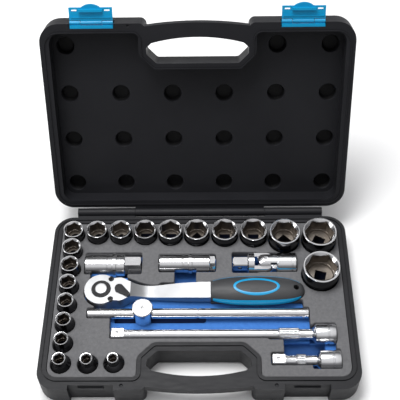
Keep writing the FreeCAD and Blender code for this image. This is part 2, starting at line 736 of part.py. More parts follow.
def ratchet_body():
    body = raised(ratchet_face(), HEAD_LOW, HEAD_HIGH).common(ratchet_side())
    body = body.cut(cover_room()).fuse(tang())
    body = body.cut(head_cavity())
    body = body.cut(post(RATCHET_X, RATCHET_U, HEAD_LOW - 1, HEAD_LOW + 4, 9.6))
    for x, u in SCREWS:
        body = body.cut(post(x, u, -4, HEAD_HIGH, 1.5))
    return body.removeSplitter()


def cover_room():
    """The upper slice of the head, from its back to the cover's straight front edge."""
    return block(RATCHET_X - HEAD_R - 1, RATCHET_X + COVER_REACH, RATCHET_U - 20, RATCHET_U + 20,
                 HEAD_HIGH - COVER_THICK, HEAD_HIGH + 1)


def ratchet_cover():
    low = HEAD_HIGH - COVER_THICK
    plate = raised(ratchet_face(), low, HEAD_HIGH).common(cover_room())
    plate = plate.cut(post(RATCHET_X, RATCHET_U, low - 1, HEAD_HIGH + 1, GEAR_BORE_R + 0.3))
    plate = plate.cut(post(LEVER_X, RATCHET_U, low - 1, HEAD_HIGH + 1, 3.0 + PIN_RUNNING))
    for x, u in SCREWS:
        plate = plate.cut(post(x, u, low - 1, HEAD_HIGH + 1, SCREW_R))
    return plate


def cover_screws():
    """Two countersunk screws with hexagon recesses."""
    screws = []
    for x, u in SCREWS:
        head = post(x, u, HEAD_HIGH - COVER_THICK, HEAD_HIGH + 0.1, SCREW_R)
        stem = post(x, u, -3.5, HEAD_HIGH - COVER_THICK, 1.5)
        recess = upright_hex(x, u, 2.5, HEAD_HIGH - 1.2, HEAD_HIGH + 1)
        screws.append(head.fuse(stem).removeSplitter().cut(recess))
    return Part.makeCompound(screws)


def drive_gear():
    """Toothed drive wheel with its square below and the button's bore above."""
    low = HEAD_LOW + 3.3
    points = []
    for index in range(2 * GEAR_TEETH):
        angle = math.pi * index / GEAR_TEETH
        radius = GEAR_R if index % 2 == 0 else GEAR_R - 0.9
        points.append(Vector(RATCHET_X + radius * math.cos(angle),
                             y_of(RATCHET_U) + radius * math.sin(angle), z_of(low)))
    points.append(points[0])
    wheel = Part.Face(Part.makePolygon(points)).extrude(Vector(0, 0, HEAD_HIGH - 0.9 - low))
    hub = post(RATCHET_X, RATCHET_U, HEAD_LOW + 0.2, low, 9.5)
    drive = square_along_z(RATCHET_X, RATCHET_U, -27.0, HEAD_LOW + 0.2, SQUARE, 0.9)
    gear = join([wheel, hub, drive])
    gear = gear.cut(post(RATCHET_X, RATCHET_U, -4.0, HEAD_HIGH + 1, BUTTON_R + 0.1))
    gear = gear.cut(post(RATCHET_X, RATCHET_U, -16.0, -3.9, 2.3))
    return gear.cut(ball_and_seat(gear_ball_face(), Vector(0, -1, 0))[1])


def gear_ball_face():
    return Vector(RATCHET_X, y_of(RATCHET_U) - SQUARE / 2, z_of(-21.5))


def drive_ring():
    """Black dust ring round the release button, turning with the gear."""
    ring = post(RATCHET_X, RATCHET_U, HEAD_HIGH - 0.9, HEAD_HIGH + 0.4, GEAR_R + 0.6)
    return ring.cut(post(RATCHET_X, RATCHET_U, 0, HEAD_HIGH + 1, BUTTON_R + 0.1))


def release_button():
    cap = post(RATCHET_X, RATCHET_U, -1.2, HEAD_HIGH + 1.6, BUTTON_R)
    top_edges = [edge for edge in cap.Edges
                 if all(abs(v.Z - z_of(HEAD_HIGH + 1.6)) < 1e-6 for v in edge.Vertexes)]
    cap = cap.makeFillet(0.9, top_edges)
    stem = post(RATCHET_X, RATCHET_U, -13.2, -1.2, 2.2)
    return cap.fuse(stem).removeSplitter()


def pawl():
    """The curved block that meshes with the gear, seen in plan as a short rack."""
    low = HEAD_LOW + 3.4
    high = HEAD_HIGH - COVER_THICK - 0.4
    bar = block(RATCHET_X + 8.6, RATCHET_X + 14.6, RATCHET_U - 5.6, RATCHET_U + 5.6, low, high)
    bar = bar.cut(post(RATCHET_X, RATCHET_U, low - 1, high + 1, GEAR_R + 0.35))
    for step in (-4, -3, -2, -1, 0, 1, 2, 3, 4):
        angle = math.radians(360 / GEAR_TEETH * step)
        x = RATCHET_X + (GEAR_R + 0.3) * math.cos(angle)
        u = RATCHET_U + (GEAR_R + 0.3) * math.sin(angle)
        bar = bar.cut(post(x, u, low - 1, high + 1, 0.45))
    return bar


def reversing_lever():
    """Teardrop lever on its stem."""
    angle = math.radians(LEVER_REST)
    reach = 15.6
    hub_r = 5.2
    tip_r = 2.5
    along = Vector(math.cos(angle), math.sin(angle), 0)
    across = Vector(-along.y, along.x, 0)
    centre = Vector(LEVER_X, y_of(RATCHET_U), z_of(LEVER_LOW))
    tip = centre + along * (reach - tip_r)
    edges = [
        Part.Arc(centre + across * hub_r, centre - along * hub_r, centre - across * hub_r),
        Part.LineSegment(centre - across * hub_r, tip - across * tip_r),
        Part.Arc(tip - across * tip_r, tip + along * tip_r, tip + across * tip_r),
        Part.LineSegment(tip + across * tip_r, centre + across * hub_r),
    ]
    face = Part.Face(Part.Wire([edge.toShape() for edge in edges]))
    blade = face.extrude(Vector(0, 0, LEVER_HIGH - LEVER_LOW))
    stem = post(LEVER_X, RATCHET_U, -1.0, LEVER_LOW, 3.0)
    return blade.fuse(stem).removeSplitter()


GRIP_SECTIONS = [
    # x, half width, half height
    (SHANK_END, 11.8, 8.4), (22, 14.6, 9.8), (38, 17.2, 11.2), (60, 18.2, 11.9),
    (84, 17.6, 11.5), (100, 15.6, 10.2), (111, 12.2, 8.2), (117.5, 7.8, 5.6),
    (GRIP_END, 3.0, 2.4),
]


def grip_solid(shrink):
    wires = []
    for x, wide, high in GRIP_SECTIONS:
        ellipse = Part.Ellipse(Vector(0, 0, 0), wide - shrink, high - shrink)
        wire = Part.Wire([ellipse.toShape()])
        placed = wire.rotated(Vector(0, 0, 0), X_AXIS, 90)
        placed = placed.rotated(Vector(0, 0, 0), Z_AXIS, 90)
        wires.append(placed.translated(Vector(x, y_of(RATCHET_U), z_of(GRIP_D))))
    return Part.makeLoft(wires, True, False)


def ellipse_prism(a, b, d0, d1):
    ellipse = Part.Ellipse(Vector(65.2, y_of(RATCHET_U), z_of(d0)), a, b)
    return Part.Face(Part.Wire([ellipse.toShape()])).extrude(Vector(0, 0, d1 - d0))


def grip_pieces():
    """The black grip, its blue side stripes and the blue oval on top, let into its skin."""
    whole = grip_solid(0)
    skin = whole.cut(grip_solid(1.2))
    stripes = []
    for side in (-1, 1):
        u0, u1 = (RATCHET_U + 4, RATCHET_U + 25) if side > 0 else (RATCHET_U - 25, RATCHET_U - 4)
        band = block(SHANK_END + 2.5, GRIP_END - 4, u0, u1, GRIP_D - 3.6, GRIP_D + 0.6)
        stripes.append(skin.common(band))
    oval_band = ellipse_prism(26.4, 11.2, GRIP_D, 20).cut(ellipse_prism(23.4, 8.2, GRIP_D - 1, 21))
    oval = skin.common(oval_band)
    black = whole.cut(stripes[0]).cut(stripes[1]).cut(oval).cut(tang())
    black = black.cut(post(110.6, RATCHET_U, -20, 20, 3.2))
    return black, Part.makeCompound([piece for s in stripes for piece in s.Solids]), oval


# ---------------------------------------------------------------- sliding T-bar and extensions

TBAR_HEAD_R = 11.8
TBAR_HEAD_LOW = -12.0
TBAR_HEAD_HIGH = 9.5


def tbar_rod():
    length = TBAR_LENGTH
    middle = length / 2
    profile = [(0, TBAR_R - 1), (1, TBAR_R), (middle - 1.2, TBAR_R), (middle - 0.6, TBAR_R - 0.6),
               (middle + 0.6, TBAR_R - 0.6), (middle + 1.2, TBAR_R), (length - 1, TBAR_R),
               (length, TBAR_R - 1)]
    bar = along_x(profile, TBAR_X, TBAR_U, TBAR_D)
    for ball in tbar_end_balls().Solids:
        bar = bar.cut(ball)
    return bar


def tbar_end_balls():
    """Two staked balls near the bar's ends that stop the head from sliding off."""
    balls = []
    for x in (TBAR_X + 6, TBAR_X + TBAR_LENGTH - 6):
        centre = Vector(x, y_of(TBAR_U) - TBAR_R + 1.4, z_of(TBAR_D))
        balls.append(Part.makeSphere(1.9, centre))
    return Part.makeCompound(balls)


def tbar_head():
    head = post(TBAR_HEAD_X, TBAR_U, TBAR_HEAD_LOW, TBAR_HEAD_HIGH, TBAR_HEAD_R)
    rims = [edge for edge in head.Edges if edge.Curve.TypeId == "Part::GeomCircle"]
    head = head.makeChamfer(0.7, rims)
    drive = square_along_z(TBAR_HEAD_X, TBAR_U, -27.0, TBAR_HEAD_LOW, SQUARE, 0.9)
    head = head.fuse(drive).removeSplitter()
    head = head.cut(rod(TBAR_HEAD_X - 20, TBAR_HEAD_X + 20, TBAR_U, TBAR_D, TBAR_R + 0.08))
    head = head.cut(cone(TBAR_HEAD_X, TBAR_U, TBAR_HEAD_HIGH - 1.0, 0.8, TBAR_HEAD_HIGH + 0.01, 1.7))
    return head.cut(ball_and_seat(tbar_ball_face(), Vector(0, -1, 0))[1])


def tbar_ball_face():
    return Vector(TBAR_HEAD_X, y_of(TBAR_U) - SQUARE / 2, z_of(-21.5))


def extension(x, u, d, length, shaft_r, grip_from, grip_to):
    """Drive square, shaft, knurled band and female end on one axis."""
    female_r = 11.5
    flare = length - 27.0
    body = length - 22.0
    profile = [(15.0, 6.4), (18.0, shaft_r), (grip_from, shaft_r), (grip_from + 0.8, 7.4),
               (grip_to - 0.8, 7.4), (grip_to, shaft_r), (flare, shaft_r), (body, female_r),
               (length - 9, female_r), (length - 8.6, female_r - 0.7),
               (length - 7.6, female_r - 0.7), (length - 7.2, female_r),
               (length - 0.8, female_r), (length, female_r - 0.8)]
    turned = along_x(profile, x, u, d)
    drive = square_along_x(x, x + 17, u, d, SQUARE, 0.9)
    tool = turned.fuse(drive).removeSplitter()
    half = SQUARE_BORE / 2
    tool = tool.cut(block(x + length - 16, x + length + 1, u - half, u + half, d - half, d + half))
    return tool.cut(ball_and_seat(side_ball_face(x, u, d), Z_AXIS)[1])


def side_ball_face(x, u, d):
    """Where an extension's ball breaks the upper flat of its drive square."""
    return Vector(x + 7.0, y_of(u), z_of(d) + SQUARE / 2)


LONG_EXT = (LONG_EXT_X, LONG_EXT_U, LONG_EXT_D)
SHORT_EXT = (SHORT_EXT_X, SHORT_EXT_U, SHORT_EXT_D)


# ---------------------------------------------------------------- foam

def lying_pockets(d0, d1):
    """The cutters that open the grey layer for everything that lies down."""
    head = post(RATCHET_X, RATCHET_U, d0, d1, HEAD_R + 1.2)
    neck_curve = Part.BSplineCurve()
    neck_curve.interpolate([
        Vector(-103, y_of(91.6), 0), Vector(-86, y_of(92.3), 0), Vector(-72, y_of(98.2), 0),
        Vector(-58, y_of(102.6), 0), Vector(-44, y_of(102.2), 0)])
    closing = [Vector(-44, y_of(102.2), 0), Vector(-40, y_of(125), 0), Vector(-103, y_of(125), 0),
               Vector(-103, y_of(91.6), 0)]
    edges = [neck_curve.toShape()]
    edges += [Part.LineSegment(a, b).toShape() for a, b in zip(closing, closing[1:])]
    neck = raised(Part.Face(Part.Wire(edges)), d0, d1)
    shank_slot = block(-46, SHANK_END, RATCHET_U - 11.4, RATCHET_U + 12, d0, d1)
    grip = grip_solid(-0.8)
    grip_slot = grip.fuse(grip.translated(Vector(0, 0, 6))).fuse(grip.translated(Vector(0, 0, 12)))
    grip_slot = grip_slot.common(block(0, 140, 60, 150, d0, d1))
    middle = block(-119, 118, 122.9, 134, d0, d1)
    tbar = block(TBAR_X - 0.8, TBAR_X + TBAR_LENGTH + 0.8, 132.6, 146.2, d0, d1)
    below = block(-100.2, 124.3, 145, 160, d0, d1)
    long_slot = block(LONG_EXT_X - 0.8, LONG_EXT_X + 176, LONG_EXT_U - 7, LONG_EXT_U + 6.9, d0, d1)
    long_knurl = block(LONG_EXT_X + 175, LONG_EXT_X + 251, LONG_EXT_U - 8.2, LONG_EXT_U + 8.2, d0, d1)
    long_end = block(127.5, LONG_EXT_X + 251.0, LONG_EXT_U - 12, LONG_EXT_U + 12, d0, d1)
    long_flare = block(121.5, 128.0, LONG_EXT_U - 9.8, LONG_EXT_U + 9.8, d0, d1)
    finger = block(93.4, 139.5, 173.0, 190.5, d0, d1)
    finger_side = block(139.0, 151.0, 176.0, 187.5, d0, d1)
    short_slot = block(SHORT_EXT_X - 0.8, SHORT_EXT_X + 49, SHORT_EXT_U - 8, SHORT_EXT_U + 7.8, d0, d1)
    short_end = block(SHORT_EXT_X + 44, SHORT_EXT_X + 75.8, SHORT_EXT_U - 12, SHORT_EXT_U + 12, d0, d1)
    plug21 = block(-135.0, -67.8, PLUG_U - 14.9, PLUG_U + 14.9, d0, d1)
    plug_gap = block(-127.0, -84.0, PLUG_U + 12, 100, d0, d1)
    plug16 = block(-47.8, 19.4, PLUG_U - 12.5, PLUG_U + 12.5, d0, d1)
    plug_finger = block(-28.8, -4.0, PLUG_U + 10, 103, d0, d1)
    joint = block(UJ_X - 0.9, UJ_X + UJ_LENGTH + 0.9, UJ_U - 13.2, UJ_U + 13.2, d0, d1)
    joint_swing = block(UJ_X - 0.9, UJ_X + 30, UJ_U - UJ_ROOM, UJ_U + UJ_ROOM, d0, d1)
    return [head, neck, shank_slot, grip_slot, middle, tbar, below, long_slot, long_knurl,
            long_end, long_flare, finger, finger_side, short_slot, short_end, plug21,
            plug_gap, plug16, plug_finger, joint, joint_swing]


def tray_blank(d0, d1):
    return raised(tray_outline().makeOffset2D(-FOAM_PLAY), d0, d1)


def foam_top():
    layer = tray_blank(FOAM_SPLIT, FOAM_TOP)
    for pocket in lying_pockets(FOAM_SPLIT - 1, FOAM_TOP + 1):
        layer = layer.cut(pocket)
    for size, x, u in socket_places():
        radius = max(socket_foot_radius(size), socket_radius(size)) + POCKET_PLAY
        layer = layer.cut(post(x, u, FOAM_SPLIT - 1, FOAM_TOP + 1, radius))
    return layer


def channel(x0, x1, u, d, radius):
    """A trough for a round tool: as wide as the tool from its axis up."""
    trough = rod(x0, x1, u, d, radius)
    return trough.fuse(block(x0, x1, u - radius, u + radius, d, FOAM_TOP))


def foam_bottom():
    layer = tray_blank(-BASE_DEPTH + FLOOR, FOAM_SPLIT)
    for size, x, u in socket_places():
        radius = max(socket_foot_radius(size), socket_radius(size)) + POCKET_PLAY
        layer = layer.cut(post(x, u, SOCKET_FOOT - 0.3, FOAM_TOP, radius))
    for size, x, d, radius, _ in PLUGS.values():
        layer = layer.cut(channel(x - 0.8, x + PLUG_LENGTH + 0.8, PLUG_U, d, radius + 1.4))
    layer = layer.cut(channel(UJ_X - 0.9, UJ_X + UJ_LENGTH + 0.9, UJ_U, UJ_D, UJ_R + 0.6))
    layer = layer.cut(block(UJ_X - 0.9, UJ_X + 30, UJ_U - UJ_ROOM, UJ_U + UJ_ROOM,
                            UJ_D - UJ_R - 0.6, FOAM_TOP))
    head_room = post(RATCHET_X, RATCHET_U, HEAD_LOW - 0.3, FOAM_TOP, HEAD_R + 1.2)
    square_room = post(RATCHET_X, RATCHET_U, -27.4, FOAM_TOP, 11.0)
    layer = layer.cut(head_room).cut(square_room)
    layer = layer.cut(block(RATCHET_X, RATCHET_X + 28, RATCHET_U - 19.6, RATCHET_U + 19.6, HEAD_LOW - 0.3, FOAM_TOP))
    layer = layer.cut(block(RATCHET_X, NECK_X, RATCHET_U - 15, RATCHET_U + 15, HEAD_LOW - 0.3, FOAM_TOP))
    grip = grip_solid(-0.6)
    layer = layer.cut(grip.fuse(block(SHANK_END - 1, GRIP_END, RATCHET_U - 1, RATCHET_U + 1,
                                      FOAM_SPLIT, FOAM_TOP)))
    trench = block(TBAR_HEAD_X - 33, TBAR_HEAD_X + 71, TBAR_U - 7.2, TBAR_U + 7.2, -27.4, FOAM_TOP)
    layer = layer.cut(trench)
    for x, u, d, length, knurl in ((*LONG_EXT, 250.0, 184.0), (*SHORT_EXT, 75.0, 25.0)):
        layer = layer.cut(channel(x - 0.8, x + length + 0.8, u, d, 6.9))
        layer = layer.cut(block(x - 0.8, x + 19, u - 6.9, u + 6.9, d - 6.8, FOAM_TOP))
        layer = layer.cut(channel(x + knurl, x + length + 0.8, u, d, 7.8))
        layer = layer.cut(channel(x + length - 28, x + length + 0.8, u, d, 11.9))
    layer = layer.cut(block(93.4, 139.5, 173.0, 190.5, -20.0, FOAM_TOP))
    layer = layer.cut(block(-28.8, -4.0, PLUG_U, 98.5, -18.0, FOAM_TOP))
    return layer


# ---------------------------------------------------------------- write every node

def main():
    save(base_shell(), "base_shell")
    save(rod(-KNUCKLE_END, KNUCKLE_END, 0, 0, HINGE_PIN_R), "hinge_pin")
    save(swing(lid_shell(), LID_OPEN), "lid_shell")
    for side, name in ((-1, "left"), (1, "right")):
        save(swing(latch_leaf(side), LID_OPEN), "latch_leaf_" + name)
        save(swing(open_latch(latch_flap(side)), LID_OPEN), "latch_flap_" + name)
        save(swing(latch_pin(side), LID_OPEN), "latch_pin_" + name)
    save(foam_top(), "foam_top")
    save(foam_bottom(), "foam_bottom")
    for size, x, u in socket_places():
        save(socket(size, x, u), "socket_%dmm" % size)
    for name, (size, x, d, radius, drive_hex) in PLUGS.items():
        save(plug_socket(size, x, d, radius, drive_hex), name)
        save(plug_insert(size, x, d), name.replace("socket", "insert"))
    save(uj_female(), "joint_female_yoke")
    male_ball, male_seat = ball_and_seat(uj_ball_face(), Vector(0, -1, 0))
    save(uj_male().cut(male_seat), "joint_male_yoke")
    save(male_ball, "joint_ball")
    save(uj_block(), "joint_block")
    save(uj_pins(), "joint_pins")
    save(ratchet_body(), "ratchet_body")
    save(ratchet_cover(), "ratchet_cover")
    save(cover_screws(), "cover_screws")
    save(drive_gear(), "drive_gear")
    save(ball_and_seat(gear_ball_face(), Vector(0, -1, 0))[0], "drive_ball")
    save(drive_ring(), "drive_ring")
    save(release_button(), "release_button")
    save(pawl(), "pawl")
    save(reversing_lever(), "reversing_lever")
    black, stripes, oval = grip_pieces()
    save(black, "grip")
    save(stripes, "grip_stripes")
    save(oval, "grip_oval")
    save(tbar_rod(), "tbar_rod")
    save(tbar_end_balls(), "tbar_end_balls")
    save(tbar_head(), "tbar_head")
    save(ball_and_seat(tbar_ball_face(), Vector(0, -1, 0))[0], "tbar_head_ball")
    save(extension(*LONG_EXT, 250.0, 6.0, 186.0, 210.5), "extension_250mm")
    save(ball_and_seat(side_ball_face(*LONG_EXT), Z_AXIS)[0], "extension_250mm_ball")
    save(extension(*SHORT_EXT, 75.0, 6.0, 26.0, 38.0), "extension_75mm")
    save(ball_and_seat(side_ball_face(*SHORT_EXT), Z_AXIS)[0], "extension_75mm_ball")


def uj_ball_face():
    return Vector(UJ_X + 8.0, y_of(UJ_U) - SQUARE / 2, z_of(UJ_D))


main()
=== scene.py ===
import json
import math

import bmesh
import bpy
from mathutils import Matrix, Vector


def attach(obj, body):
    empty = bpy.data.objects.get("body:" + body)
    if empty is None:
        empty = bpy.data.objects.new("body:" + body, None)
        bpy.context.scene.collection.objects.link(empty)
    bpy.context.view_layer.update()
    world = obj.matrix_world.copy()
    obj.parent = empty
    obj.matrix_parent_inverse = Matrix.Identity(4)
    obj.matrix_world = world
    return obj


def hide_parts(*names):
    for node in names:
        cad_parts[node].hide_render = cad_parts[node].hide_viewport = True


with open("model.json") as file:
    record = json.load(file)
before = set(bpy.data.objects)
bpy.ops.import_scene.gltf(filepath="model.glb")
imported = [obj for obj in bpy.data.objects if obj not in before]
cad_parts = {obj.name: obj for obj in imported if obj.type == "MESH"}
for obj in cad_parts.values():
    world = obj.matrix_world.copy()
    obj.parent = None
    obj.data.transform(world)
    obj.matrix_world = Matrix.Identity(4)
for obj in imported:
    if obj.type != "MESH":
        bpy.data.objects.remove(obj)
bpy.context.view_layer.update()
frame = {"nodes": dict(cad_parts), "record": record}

NODES = frame["nodes"]

# The plan uses the same letters as the CAD: u in front of the hinge, d above the parting plane.
MM = 0.001
HINGE_Y = 120.4
PLANE_Z = 32.0


def at(x, u, d):
    return Vector((x, HINGE_Y - u, PLANE_Z + d))


# ---------------------------------------------------------------- materials

def new_material(name):
    material = bpy.data.materials.new(name)
    material.use_nodes = True
    nodes = material.node_tree.nodes
    return material, nodes, material.node_tree.links, nodes["Principled BSDF"]


def noise(nodes, links, scale, detail=3.0, stretch=None, roughness=0.55):
    """Noise over the object's own coordinates, per metre; stretch squeezes it along an axis."""
    coords = nodes.new("ShaderNodeTexCoord")
    texture = nodes.new("ShaderNodeTexNoise")
    texture.inputs["Scale"].default_value = scale
    texture.inputs["Detail"].default_value = detail
    texture.inputs["Roughness"].default_value = roughness
    if stretch is None:
        links.new(coords.outputs["Object"], texture.inputs["Vector"])
    else:
        mapping = nodes.new("ShaderNodeMapping")
        mapping.inputs["Scale"].default_value = stretch
        links.new(coords.outputs["Object"], mapping.inputs["Vector"])
        links.new(mapping.outputs["Vector"], texture.inputs["Vector"])
    return texture.outputs["Fac"]


def ramp(nodes, links, source, stops):
    """Map a 0..1 value through colour stops (position, colour)."""
    node = nodes.new("ShaderNodeValToRGB")
    elements = node.color_ramp.elements
    while len(elements) < len(stops):
        elements.new(0.5)
    for element, (position, colour) in zip(elements, stops):
        element.position = position
        element.color = (*colour, 1.0)
    links.new(source, node.inputs["Fac"])
    return node.outputs["Color"]


def spread(nodes, links, source, low, high, start=0.3, end=0.7):
    """Map a value from start..end to low..high."""
    node = nodes.new("ShaderNodeMapRange")
    node.inputs["From Min"].default_value = start
    node.inputs["From Max"].default_value = end
    node.inputs["To Min"].default_value = low
    node.inputs["To Max"].default_value = high
    links.new(source, node.inputs["Value"])
    return node.outputs["Result"]


def bumps(nodes, links, shader, layers):
    """Chain bump layers (height, distance in metres, strength) into the shader's normal."""
    previous = None
    for height, distance, strength in layers:
        bump = nodes.new("ShaderNodeBump")
        bump.inputs["Distance"].default_value = distance
        bump.inputs["Strength"].default_value = strength
        links.new(height, bump.inputs["Height"])
        if previous is not None:
            links.new(previous, bump.inputs["Normal"])
        previous = bump.outputs["Normal"]
    links.new(previous, shader.inputs["Normal"])


def moulded_plastic(name, dark, light, rough, grain, gloss=0.5, painted_shade_args=None):
    """Moulded plastic with a fine cast grain, slow tone changes and faint scuffs.
    The last argument holds the arguments of the painted-shade blend: a recess is painted darker, standing in for
    its shadow."""
    material, nodes, links, shader = new_material(name)
    slow = noise(nodes, links, 14.0, 4.0)
    fine = noise(nodes, links, 2600.0, 2.0)
    scuff = noise(nodes, links, 60.0, 6.0, stretch=(1.0, 6.0, 3.0), roughness=0.7)
    tone = nodes.new("ShaderNodeMath")
    tone.operation = "MULTIPLY_ADD"
    links.new(slow, tone.inputs[0])
    tone.inputs[1].default_value = 0.6
    links.new(spread(nodes, links, fine, 0.0, 0.4), tone.inputs[2])
    colour = ramp(nodes, links, tone.outputs[0], [(0.25, dark), (0.75, light)])
    # Painted shade: recesses such as the lid's dimples are darkened in colour, standing in for their shadow.
    if painted_shade_args is not None:
        colour = blend_painted_shade(nodes, links, colour, *painted_shade_args)
    links.new(colour, shader.inputs["Base Color"])
    links.new(spread(nodes, links, scuff, rough - 0.07, rough + 0.08), shader.inputs["Roughness"])
    shader.inputs["Specular IOR Level"].default_value = gloss
    bumps(nodes, links, shader, [(fine, 0.00006 * grain, 0.55), (slow, 0.0004, 0.12)])
    return material


def blend_painted_shade(nodes, links, colour, shade_colour, direction, low, high, stops):
    """Painted shade: blend a colour into a darker shade colour by a point's distance along direction, from low to
    high in metres, standing in for the shadow in recesses. stops are (share of that range, share of the first
    colour)."""
    coords = nodes.new("ShaderNodeTexCoord")
    along = nodes.new("ShaderNodeVectorMath")
    along.operation = "DOT_PRODUCT"
    links.new(coords.outputs["Object"], along.inputs[0])
    along.inputs[1].default_value = direction
    share = spread(nodes, links, along.outputs["Value"], 0.0, 1.0, low, high)
    keep = ramp(nodes, links, share, [(place, (kept,) * 3) for place, kept in stops])
    mix = nodes.new("ShaderNodeMix")
    mix.data_type = "RGBA"
    links.new(keep, mix.inputs["Factor"])
    shade_mottle = noise(nodes, links, 900.0, 2.0)
    dim = tuple(0.7 * channel for channel in shade_colour)
    colours = [socket for socket in mix.inputs if socket.type == "RGBA"]
    links.new(ramp(nodes, links, shade_mottle, [(0.3, dim), (0.7, shade_colour)]), colours[0])
    links.new(colour, colours[1])
    return [socket for socket in mix.outputs if socket.type == "RGBA"][0]


def foam(name, dark, light, pocket_shade, low_d, high_d):
    """Closed-cell foam: fine cells, faint mottling, no gloss, and painted shade: a darker tone low in the pockets,
    standing in for the shadow there.
    """
    material, nodes, links, shader = new_material(name)
    coords = nodes.new("ShaderNodeTexCoord")
    cells = nodes.new("ShaderNodeTexVoronoi")
    cells.inputs["Scale"].default_value = 1500.0
    links.new(coords.outputs["Object"], cells.inputs["Vector"])
    mottle = noise(nodes, links, 260.0, 5.0, roughness=0.65)
    grit = noise(nodes, links, 1500.0, 3.0, roughness=0.7)
    mix = nodes.new("ShaderNodeMath")
    mix.operation = "MULTIPLY_ADD"
    links.new(grit, mix.inputs[0])
    mix.inputs[1].default_value = 0.7
    links.new(spread(nodes, links, mottle, 0.0, 0.3), mix.inputs[2])
    tone = ramp(nodes, links, mix.outputs[0], [(0.25, dark), (0.8, light)])
    # Painted shade: the foam turns darker towards the bottom of its pockets, standing in for their shadow.
    links.new(blend_painted_shade(nodes, links, tone, pocket_shade, (0.0, 0.0, 1.0), (PLANE_Z + low_d) * MM,
                         (PLANE_Z + high_d) * MM, [(0.0, 0.0), (1.0, 1.0)]),
              shader.inputs["Base Color"])
    links.new(spread(nodes, links, grit, 0.86, 0.98), shader.inputs["Roughness"])
    shader.inputs["Specular IOR Level"].default_value = 0.25
    bumps(nodes, links, shader, [(cells.outputs["Distance"], 0.00012, 0.5), (grit, 0.0002, 0.5)])
    return material


def steel(name, colour, rough, stretch, scratch, tint=0.06):
    """Plated steel: polishing lines along the stretch axis, and a thin uneven film on top."""
    material, nodes, links, shader = new_material(name)
    shader.inputs["Metallic"].default_value = 1.0
    film = noise(nodes, links, 55.0, 4.0, roughness=0.6)
    lines = noise(nodes, links, 400.0, 4.0, stretch=stretch, roughness=0.7)
    darker = tuple(max(0.0, c - tint) for c in colour)
    links.new(ramp(nodes, links, film, [(0.3, darker), (0.7, colour)]), shader.inputs["Base Color"])
    both = nodes.new("ShaderNodeMath")
    both.operation = "MULTIPLY_ADD"
    links.new(lines, both.inputs[0])
    both.inputs[1].default_value = 0.5
    links.new(spread(nodes, links, film, 0.0, 0.5), both.inputs[2])
    links.new(spread(nodes, links, both.outputs[0], rough * 0.75, rough * 1.35, 0.15, 0.85),
              shader.inputs["Roughness"])
    bumps(nodes, links, shader, [(lines, 0.00001 * scratch, 0.35)])
    return material


CASE_DARK = (0.0080, 0.0082, 0.0100)
CASE_LIGHT = (0.0140, 0.0143, 0.0168)
CASE_GLOSS = 0.22
CASE = moulded_plastic("case_plastic", CASE_DARK, CASE_LIGHT, 0.50, 1.0, CASE_GLOSS)
# The open lid's thickness direction. Its panel is 21 mm above the parting plane, and the dimples,
# which are painted near-black here as painted shade standing in for their shadow, end at 28 mm.
LID_TILT = math.radians(115.6)
LID_OUTWARD = (0.0, math.sin(LID_TILT), math.cos(LID_TILT))
LID_PLANE = (HINGE_Y * math.sin(LID_TILT) + PLANE_Z * math.cos(LID_TILT)) * MM
DIMPLE_PAINTED_SHADE = ((0.0016, 0.0016, 0.0019), LID_OUTWARD, LID_PLANE + 0.0210, LID_PLANE + 0.0310,
           [(0.06, 1.0), (0.40, 0.0), (0.80, 0.0), (0.88, 1.0)])
LID = moulded_plastic("lid_plastic_painted_dimple_shade", CASE_DARK, CASE_LIGHT, 0.50, 1.0, CASE_GLOSS, DIMPLE_PAINTED_SHADE)
LATCH = moulded_plastic("latch_blue", (0.0, 0.215, 0.43), (0.0, 0.285, 0.54), 0.33, 0.5)
# Foam colours, each with a painted-shade colour that darkens the lower parts of its pockets.
FOAM_GREY_WITH_PAINTED_SHADE = foam("foam_grey", (0.098, 0.098, 0.103), (0.165, 0.165, 0.170), (0.05, 0.05, 0.055),
                 -12.3, -2.5)
FOAM_BLUE_WITH_PAINTED_SHADE = foam("foam_blue", (0.035, 0.135, 0.43), (0.06, 0.21, 0.57), (0.006, 0.018, 0.075),
                 -23.0, -13.5)
CHROME = steel("chrome", (0.80, 0.80, 0.81), 0.13, (1.0, 1.0, 12.0), 0.8)
# Painted dark reflection: the sockets' outer sides get near-black metal, standing in for the dark surroundings
# that chrome reflects there.
CHROME_PAINTED_DARK_REFLECTION = steel("chrome_painted_dark_reflection", (0.055, 0.055, 0.058), 0.22, (1.0, 1.0, 12.0), 0.8, 0.015)
BORE = steel("bore_steel", (0.235, 0.212, 0.190), 0.34, (1.0, 1.0, 12.0), 1.5, 0.06)
CHROME_X = steel("chrome_turned", (0.78, 0.785, 0.80), 0.17, (12.0, 1.0, 1.0), 1.0)
SATIN = steel("chrome_satin", (0.40, 0.404, 0.412), 0.38, (0.35, 6.0, 3.0), 2.0)
PIN = steel("pin_steel", (0.50, 0.50, 0.51), 0.30, (1.0, 4.0, 4.0), 1.5)
BLACKENED = steel("blackened_steel", (0.028, 0.028, 0.029), 0.38, (1.0, 1.0, 1.0), 2.0, 0.012)
RUBBER = moulded_plastic("rubber_black", (0.011, 0.011, 0.011), (0.02, 0.02, 0.02), 0.7, 1.6, 0.3)
GRIP = moulded_plastic("grip_black", (0.030, 0.031, 0.033), (0.050, 0.051, 0.054), 0.50, 1.4, 0.4)
GRIP_BLUE = moulded_plastic("grip_blue", (0.0, 0.24, 0.50), (0.0, 0.34, 0.64), 0.36, 0.6)

